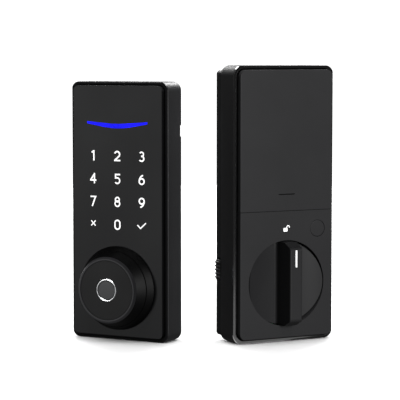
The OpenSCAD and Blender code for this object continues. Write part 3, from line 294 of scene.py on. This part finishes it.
finishes = {
    # coated panel over the keys: flat, even and matt, with hardly any grain
    "touchPanel": grainedCoat("matt coated polycarbonate",
                              "#171819", "#19191b", 0.5,
                              {"Specular IOR Level": 0.3},
                              0.5, 0.008, 0.02, 60),
    # cast zinc under a baked powder coat: a fine even pebble that scatters a highlight
    "powderCoat": grainedCoat("powder coated zinc casting",
                              "#19191b", "#1c1c1e", 0.42,
                              {"Specular IOR Level": 0.4},
                              0.8, 0.04, 0.03),
    # turned aluminium, bead blasted and anodised black: metal, but nearly matt
    "knobBlack": grainedCoat("bead blasted black anodised aluminium",
                             "#080808", "#0a0a0b", 0.48,
                             {"Specular IOR Level": 0.14},
                             0.5, 0.02, 0.03),
    # the same metal on the rim's bevel, a little smoother, with its colour made lighter: a painted highlight that
    # draws the ring
    "chamferPaintedHighlight": grainedCoat("anodised aluminium lightened as painted highlight",
                                "#505053", "#565659", 0.42,
                                {"Specular IOR Level": 0.3},
                                0.5, 0.005, 0.03),
    # flat cap of the knob, screened matt
    "knobCap": grainedCoat("matt screened ABS",
                           "#0c0c0d", "#0e0e0f", 0.5,
                           {"Specular IOR Level": 0.3},
                           0.5, 0.01, 0.02),
    # injection moulded in a spark eroded tool: soft satin grain
    "sparkAbs": grainedCoat("spark eroded moulded ABS",
                            "#242425", "#272728", 0.5,
                            {"Specular IOR Level": 0.15},
                            0.8, 0.03, 0.03, 40),
    # frame from a polished tool: smoother, so its rounded edge draws a bright line
    "trimAbs": grainedCoat("satin moulded ABS",
                           "#111112", "#131314", 0.22,
                           {"Specular IOR Level": 0.9, "Coat Weight": 0.8, "Coat Roughness": 0.12},
                           0.6, 0.01, 0.03, 40),
    # plain moulded shell with a fine matt grain
    "shellAbs": grainedCoat("matt moulded ABS",
                            "#202021", "#232324", 0.5,
                            {"Specular IOR Level": 0.3},
                            0.9, 0.04, 0.04),
    # glass filled nylon: duller and blacker than the shell, with a streaky flow
    "baseNylon": grainedCoat("glass filled nylon",
                             "#111112", "#151516", 0.55,
                             {"Specular IOR Level": 0.3},
                             1.4, 0.05, 0.06, 12),
    # closed cell foam: open pores at the cut face
    "foam": grainedCoat("closed cell foam",
                        "#0b0b0b", "#131313", 0.9,
                        {"Specular IOR Level": 0.1},
                        1.2, 0.2, 0.05, 6),
    # uncoloured connector nylon: warm, and light goes a little way in
    "nylon": grainedCoat("natural nylon",
                         "#cfc9b4", "#ded9c8", 0.45,
                         {"Subsurface Weight": 0.1},
                         0.7, 0.02, 0.05, 14),
    # a dark sheet laid at the floor of the pull mark's engraving: painted shade for the recess, dead matt, a
    # little cloudy
    "markPaintedShade": grainedCoat("dark sheet of painted shade",
                           "#050505", "#080808", 0.8,
                           {"Specular IOR Level": 0.1},
                           0.6, 0.01, 0.05, 4),
    # cut acetal gears: waxy and slightly see-through at the teeth
    "acetal": grainedCoat("cut acetal",
                          "#dbd9d0", "#e9e7e0", 0.38,
                          {"Subsurface Weight": 0.1},
                          0.5, 0.01, 0.05, 10),
    # shrunk printed film on the cells: smooth, with slow ripples from shrinking
    "cellJacket": grainedCoat("shrink film",
                              "#1c2a3a", "#24364a", 0.22,
                              {"Coat Weight": 0.4},
                              6.0, 0.15, 0.05, 14),
    # screened white ink with a glow: lit from behind on the keypad, but on the thumbturn marker and padlock symbol
    # the glow is painted, as no lamp is behind them
    "ink": glowingInlay("screened white ink", "#d8d8d8", "#ffffff", 0.5, "#f4f4f4"),
    # clear guide with blue lamps behind it: an even, deep glow
    "blueLight": glowingInlay("clear polycarbonate light guide",
                          "#040410", "#0c0cff", 0.92, "#0808ec"),
    # lamp resin under the keys: milky and faintly warm
    "lamp": glowingInlay("white lamp resin", "#d9d9c8", "#fffff0", 0.2, "#efefdc"),
    # lapped and buffed: a clear, bright reflection with a trace of the buffing
    "steel": turnedMetal("polished stainless steel",
                         "#d2d3d5", "#e2e3e4", 0.2, 0.6, 0.0, depth=0.001),
    # plated steel: grey, with a cloudy bloom in the plating
    "zinc": turnedMetal("zinc plated steel", "#8d9095", "#a6a9ae", 0.36, 0.7),
    # bushes straight from the lathe: fine turning marks that stretch a highlight
    "brass": turnedMetal("turned brass", "#b08d45", "#c8a55c", 0.3, 0.6, 0.5),
    # bright plating on the springs and contacts: slightly warm
    "nickel": turnedMetal("nickel plated spring steel", "#b3afa6", "#c8c5bd", 0.25, 0.6),
    # hard coated sensor window: very smooth and even
    "sensor": grainedCoat("hard coated sensor glass",
                          "#3a3b3d", "#3e3f41", 0.3,
                          {"Specular IOR Level": 0.4, "Coat Weight": 0.1},
                          0.5, 0.003, 0.02, 20),
    # green mask over copper, glossy where it has flowed over the tracks
    "board": printedBoard("solder masked circuit board", "#0f4a28", "#1d6a3a"),
}


def finish(piece, key):
    piece.data.materials.clear()
    piece.data.materials.append(finishes[key])


nodeFinish = {
    "powderCoat": ["exterior_housing"],
    "touchPanel": ["front_panel"],
    # the thumbturn marker and padlock symbol glow too: painted glow, with no lamp behind them
    "ink": ["keypad_legends", "thumbturn_marker", "padlock_symbol"],
    "blueLight": ["status_light"],
    "lamp": ["key_leds"],
    "board": ["keypad_board", "sensor_board", "control_board"],
    "knobBlack": ["knob_body"],
    "knobCap": ["knob_face"],
    "steel": ["fingerprint_ring"],
    "sensor": ["fingerprint_sensor"],
    "brass": ["knob_bush", "clutch_sleeve", "tail_bush", "hub_bush", "motor_pinion"],
    "zinc": ["knob_spindle", "retaining_clip", "clutch_fork", "clutch_actuator", "tail_hub",
             "tailpiece", "exterior_back_plate", "back_plate_screws", "mounting_posts",
             "mounting_plate", "drive_hub", "idler_axle", "drive_motor", "case_screws"],
    "nickel": ["battery_contacts", "battery_springs"],
    "foam": ["exterior_gasket", "button_switch", "buzzer"],
    "nylon": ["exterior_cable_socket", "inner_cable_socket"],
    "baseNylon": ["inner_base", "release_slider"],
    "shellAbs": ["inner_shell", "battery_tray", "gearbox_case", "gearbox_cover"],
    "trimAbs": ["trim_frame"],
    "sparkAbs": ["lower_panel", "battery_cover", "thumbturn", "set_button"],
    "acetal": ["main_gear", "idler_gear"],
    "cellJacket": ["batteries"],
}
for key, names in nodeFinish.items():
    for nodeName in names:
        finish(frame["nodes"][nodeName], key)
print("CAD nodes finished:", sum(len(names) for names in nodeFinish.values()))


# Pieces made finer than the CAD
def placePiece(piece, body, nodeNames, key):
    finish(piece, key)
    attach(piece, body)
    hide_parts(*nodeNames)


knobLow, knobHigh = unitBox("knob_body", outside)
knobAxis = ((knobLow.x + knobHigh.x) / 2, (knobLow.y + knobHigh.y) / 2)
knob = {"skirtEdge": 0.35, "skirtWall": 2.4, "skirtHeight": 0.8, "skirtSoftness": 0.8,
        "ridgeRadius": 23.75, "ridgeHeight": 5.3, "ridgeStep": 0.4, "faceRadius": 20.5,
        "bevel": 1.3, "seatRadius": 18.4, "seatDepth": 2, "boreRadius": 6, "bossRadius": 8.4,
        "bossStart": 0.4, "wellRadius": 17.6, "webBack": 3, "webFront": 5, "hollowInset": 3.4}
foot, top, wide = knobLow.z, knobHigh.z, knobHigh.x
shoulder = top - knob["bevel"]
seat, bore, boss, well = (knob[part + "Radius"] for part in ("seat", "bore", "boss", "well"))
ridge, ridgeZ = knob["ridgeRadius"], foot + knob["ridgeHeight"]
outer = softLine(
    [(wide - knob["skirtWall"], foot), (wide, foot), (wide, foot + knob["skirtHeight"]),
     (ridge + 0.1, ridgeZ), (ridge - knob["ridgeStep"], ridgeZ + 0.3),
     (knob["faceRadius"], shoulder), (seat, shoulder)],
    [knob["skirtEdge"], knob["skirtSoftness"], 0.18, 0.15, 0.1])
webFront, webBack = foot + knob["webFront"], foot + knob["webBack"]
bossZ, seatZ = foot + knob["bossStart"], top - knob["seatDepth"]
hollow = [(seat, seatZ), (well, seatZ), (well, webFront), (bore, webFront),
          (bore, bossZ), (boss, bossZ), (boss, webBack), (wide - knob["hollowInset"], webBack)]
knobBody = lathePiece("knobBody", *knobAxis, outer + hollow, outside, closed=True)
placePiece(knobBody, "knob", ["knob_body"], "knobBlack")
face = knob["faceRadius"]
chamfer = softLine([(face, shoulder), (face, shoulder + 0.05), (face - knob["bevel"] + 0.1, top),
                    (seat, top), (seat, shoulder)], [0.05, 0.5, 0.25])
knobChamfer = lathePiece("knobChamfer", *knobAxis, chamfer, outside, closed=True)
# the bevel ring's lighter finish is a painted highlight
placePiece(knobChamfer, "knob", ["knob_body"], "chamferPaintedHighlight")

cap = {"rim": 0.25, "ringGap": 0.06, "rimGap": 0.02}
capLow, capHigh = unitBox("knob_face", outside)
ringLow, ringHigh = unitBox("fingerprint_ring", outside)
ring = {"outer": 7.3, "inner": 5.8, "edge": 0.55, "flange": 1.0}
hole = ring["outer"] + cap["ringGap"]
capEdge = capHigh.x - cap["rimGap"]
capProfile = softLine([(hole, capLow.z), (hole, capHigh.z), (capEdge, capHigh.z),
                       (capEdge, capLow.z)], [cap["rim"] / 2, cap["rim"]])
knobCap = lathePiece("knobCap", *knobAxis, capProfile, outside, closed=True)
placePiece(knobCap, "knob", ["knob_face"], "knobCap")
flange = ring["outer"] + ring["flange"]
ringProfile = softLine([(ring["inner"], ringLow.z), (ring["inner"], ringHigh.z),
                        (ring["outer"], ringHigh.z), (ring["outer"], capLow.z),
                        (flange, capLow.z), (flange, ringLow.z)],
                       [ring["edge"], ring["edge"], 0.1, 0])
sensorRing = lathePiece("sensorRing", *knobAxis, ringProfile, outside, closed=True)
placePiece(sensorRing, "knob", ["fingerprint_ring"], "steel")

sensorLow, sensorHigh = unitBox("fingerprint_sensor", outside)
sensor = {"gap": 0.05, "edge": 0.2}
wide = ring["inner"] - sensor["gap"]
sensorProfile = [(0, sensorLow.z)] + softLine(
    [(nearAxis, sensorLow.z), (wide, sensorLow.z), (wide, sensorHigh.z), (nearAxis, sensorHigh.z)],
    [0, sensor["edge"]]) + [(0, sensorHigh.z)]
sensorWindow = lathePiece("sensorWindow", *knobAxis, sensorProfile, outside)
placePiece(sensorWindow, "knob", ["fingerprint_sensor"], "sensor")

buttonLow, buttonHigh = unitBox("set_button", inside)
button = {"headDepth": 2.4, "edge": 0.4, "stem": 2.0, "stemEdge": 0.2}
wide = (buttonHigh.x - buttonLow.x) / 2
headBack = buttonHigh.z - button["headDepth"]
buttonProfile = [(0, buttonLow.z)] + softLine(
    [(nearAxis, buttonLow.z), (button["stem"], buttonLow.z), (button["stem"], headBack),
     (wide, headBack), (wide, buttonHigh.z), (nearAxis, buttonHigh.z)],
    [button["stemEdge"]] * 3 + [button["edge"]]) + [(0, buttonHigh.z)]
buttonAxis = ((buttonLow.x + buttonHigh.x) / 2, (buttonLow.y + buttonHigh.y) / 2)
setButton = lathePiece("setButton", *buttonAxis, buttonProfile, inside)
placePiece(setButton, "set_button", ["set_button"], "sparkAbs")

# The slider is drawn looking at the unit's side: x is depth, y up, z out of the side
sideways = inside @ Matrix(((0, 0, -1, 0), (0, 1, 0, 0), (1, 0, 0, 0), (0, 0, 0, 1)))
sliderLow, sliderHigh = unitBox("release_slider", inside)
slider = {"ribs": 5, "ribShare": 0.55, "slabHeight": 0.75, "edge": 0.35, "wallSide": 34.35,
          "neckBack": 31.85, "catchBack": 30.45, "corner": 0.6, "ribCorner": 0.62,
          "catchEdge": 0.1}
pitch = (sliderHigh.y - sliderLow.y) / (slider["ribs"] + 0.4)
crest, side = -sliderLow.x, slider["wallSide"]
slab = crest - slider["slabHeight"]
# slab outside the wall, neck through its slot, catch behind it: low, high, back, front, edge
blocks = [((sliderLow.z, sliderLow.y), (sliderHigh.z, sliderHigh.y), side, slab, slider["edge"]),
          ((sliderLow.z + 1.6, sliderLow.y + 3), (sliderHigh.z - 1.6, sliderHigh.y - 3),
           slider["neckBack"], side, slider["catchEdge"]),
          ((1.5, sliderLow.y + 0.5), (sliderHigh.z - 1.2, sliderHigh.y - 0.5),
           slider["catchBack"], slider["neckBack"], slider["catchEdge"])]
for i in range(slider["ribs"]):
    middle = sliderLow.y + pitch * (i + 0.7)
    halfRib = pitch * slider["ribShare"] / 2
    blocks.append(((sliderLow.z, middle - halfRib), (sliderHigh.z, middle + halfRib),
                   slab - 0.2, crest, halfRib * 0.9))
points, faces = [], []
for low, high, backZ, frontZ, edge in blocks:
    corner = slider["corner"] if edge < 0.5 else slider["ribCorner"]
    outline = insetLoop(low, high, [corner] * 4, steps=6)
    loops = [[(x, y, backZ) for x, y in outline(0)]]
    loops += [[(x, y, z) for x, y in outline(inset)] for inset, z in quarterRound(edge, frontZ)]
    start = len(points)
    points += [p for loop in loops for p in loop]
    count = len(loops[0])
    faces += [tuple(start + i for i in f) for f in stackFaces(loops)]
    faces += [tuple(range(start, start + count)), tuple(range(len(points) - count, len(points)))]
releaseSlider = meshPiece("releaseSlider", points, faces, sideways)
placePiece(releaseSlider, "release_slider", ["release_slider"], "baseNylon")

coverLow, coverHigh = unitBox("battery_cover", inside)
mark = {"length": 11.2, "height": 0.62, "rise": 10.05, "depth": 0.34, "thickness": 0.12,
        "corner": 0.25, "edge": 0.06}
low = (-mark["length"] / 2, coverLow.y + mark["rise"] - mark["height"] / 2)
high = (mark["length"] / 2, coverLow.y + mark["rise"] + mark["height"] / 2)
floorZ = coverHigh.z - mark["depth"]
outline = insetLoop(low, high, [mark["corner"]] * 4, steps=5)
profile = [(0, floorZ)] + quarterRound(mark["edge"], floorZ + mark["thickness"], 3)
# a dark sheet at the engraving's floor: painted shade for the recess
markShadeSheet = stackPiece("pullMarkShadeSheet", outline, profile, inside)
finish(markShadeSheet, "markPaintedShade")
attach(markShadeSheet, "battery_cover")
print("knob, sensor, button, slider and pull mark made")


# Studio
cameraValues = {"lens": 162.5, "place": (-0.001385, -1.127525, 0.1772), "tilt": 4.64}
cameraData = bpy.data.cameras.new("camera")
cameraData.lens, cameraData.sensor_width = cameraValues["lens"], 36
camera = bpy.data.objects.new("camera", cameraData)
camera.location = cameraValues["place"]
camera.rotation_euler = (math.radians(90 - cameraValues["tilt"]), 0, 0)
bpy.context.scene.collection.objects.link(camera)
bpy.context.scene.camera = camera

studio = {"surround": 0.09, "backdrop": 1.3, "floorSize": 2.6, "keyPower": 4.4, "keyTurn": 56.5,
          "topPower": 34.0, "floorPower": 185.0, "fillPower": 32.0, "fillTurn": 28,
          "bouncePower": 0.3, "sidePower": 12.0, "sideTurn": 78, "rearPower": 26.0}


def softLight(name, place, target, size, power, lights=None):
    data = bpy.data.lights.new(name, "AREA")
    data.shape, data.size, data.size_y, data.energy = "RECTANGLE", size[0], size[1], power
    lamp = bpy.data.objects.new(name, data)
    lamp.location = place
    lamp.rotation_euler = (Vector(place) - Vector(target)).to_track_quat("Z", "Y").to_euler()
    bpy.context.scene.collection.objects.link(lamp)
    lamp.visible_camera = False
    if lights:
        lamp.light_linking.receiver_collection = lights
    return lamp


world = bpy.data.worlds.new("studio")
bpy.context.scene.world = world
world.use_nodes = True
surround = next(n for n in world.node_tree.nodes if n.type == "BACKGROUND")
surround.inputs["Color"].default_value = (1, 1, 1, 1)
rays = addNode(world.node_tree, "ShaderNodeLightPath")
seen = addNode(world.node_tree, "ShaderNodeMapRange",
               {"To Min": studio["surround"], "To Max": studio["backdrop"]},
               {"Value": rays.outputs["Is Camera Ray"]})
world.node_tree.links.new(seen.outputs["Result"], surround.inputs["Strength"])

floorMesh = bpy.data.meshes.new("floor")
half = studio["floorSize"] / 2
floorCorners = [(-half, -half, 0), (half, -half, 0), (half, half, 0), (-half, half, 0)]
floorMesh.from_pydata(floorCorners, [], [(0, 1, 2, 3)])
floor = bpy.data.objects.new("floor", floorMesh)
bpy.context.scene.collection.objects.link(floor)
# uncoated paper sweep: white, dull and very slightly fibrous
floor.data.materials.append(grainedCoat("white paper sweep", "#f4f4f4", "#fafafa", 0.9,
                                        {"Specular IOR Level": 0.1}, 1.5, 0.02))
floor.visible_diffuse = False
floor.visible_glossy = False

# what each lamp lights, so that the two units keep their own shading
wholeScene = [thing.name for thing in bpy.context.scene.collection.all_objects
              if thing.type == "MESH" and thing.name != "floor"]
lampSkips = {
    "top": ["knobBody", "knobChamfer", "thumbturn"],
    "front": ["knobBody", "front_panel", "exterior_housing", "trim_frame", "inner_shell",
              "knobCap", "knobChamfer", "sensorWindow", "sensorRing", "control_board",
              "gearbox_cover", "gearbox_case", "main_gear"],
}


def aroundUnits(degrees, distance, height):
    # a place round the units, counted from the front towards the right
    turn = math.radians(degrees)
    return distance * math.sin(turn), -distance * math.cos(turn), height


def partsLit(name, names):
    group = bpy.data.collections.new(name)
    for partName in names:
        group.objects.link(bpy.data.objects[partName])
    return group


topLit = partsLit("lit from above", [n for n in wholeScene if n not in lampSkips["top"]])
frontLit = partsLit("lit from the front", [n for n in wholeScene if n not in lampSkips["front"]])
sideLit = partsLit("lit from the side", ["exterior_housing", "knobBody"])
bounceLit = partsLit("lit from below", ["trim_frame"])
keyLit = partsLit("lit by the key", ["front_panel", "keypad_legends", "status_light",
                                     "exterior_gasket", "exterior_back_plate", "knobBody",
                                     "knobChamfer", "knobCap", "sensorRing", "sensorWindow"])
floorOnly = bpy.data.collections.new("floor light")
floorOnly.objects.link(floor)
softLight("floorSky", (0, 0, 1.8), (0, 0, 0), (6, 6), studio["floorPower"], floorOnly)
softLight("top", (0.0, -0.15, 1.5), (0, 0, 0.1), (1.2, 1.2), studio["topPower"], topLit)
softLight("key", aroundUnits(-studio["keyTurn"], 1.5, 0.12), (-0.04, 0, 0.08), (0.12, 0.3),
          studio["keyPower"], keyLit)
softLight("fill", aroundUnits(studio["fillTurn"], 1.7, 0.35), (0.04, 0, 0.09), (0.5, 0.9),
          studio["fillPower"], frontLit)
softLight("rearRight", (0.6, 1.6, 0.7), (0, 0, 0.08), (0.6, 1.2), studio["rearPower"])
softLight("rearLeft", (-0.6, 1.6, 0.7), (0, 0, 0.08), (0.6, 1.2), studio["rearPower"])
sideLamp = softLight("side", aroundUnits(studio["sideTurn"], 1.5, 0.3), (-0.04, 0, 0.09),
                     (0.4, 0.9), studio["sidePower"], sideLit)
sideLamp.light_linking.blocker_collection = sideLit  # the other unit stands in its way
softLight("bounce", (0, -0.15, 0.002), (0, -0.14, 0.5), (0.4, 0.26), studio["bouncePower"],
          bounceLit)
bpy.context.scene.view_settings.view_transform = "Standard"
print("studio set")
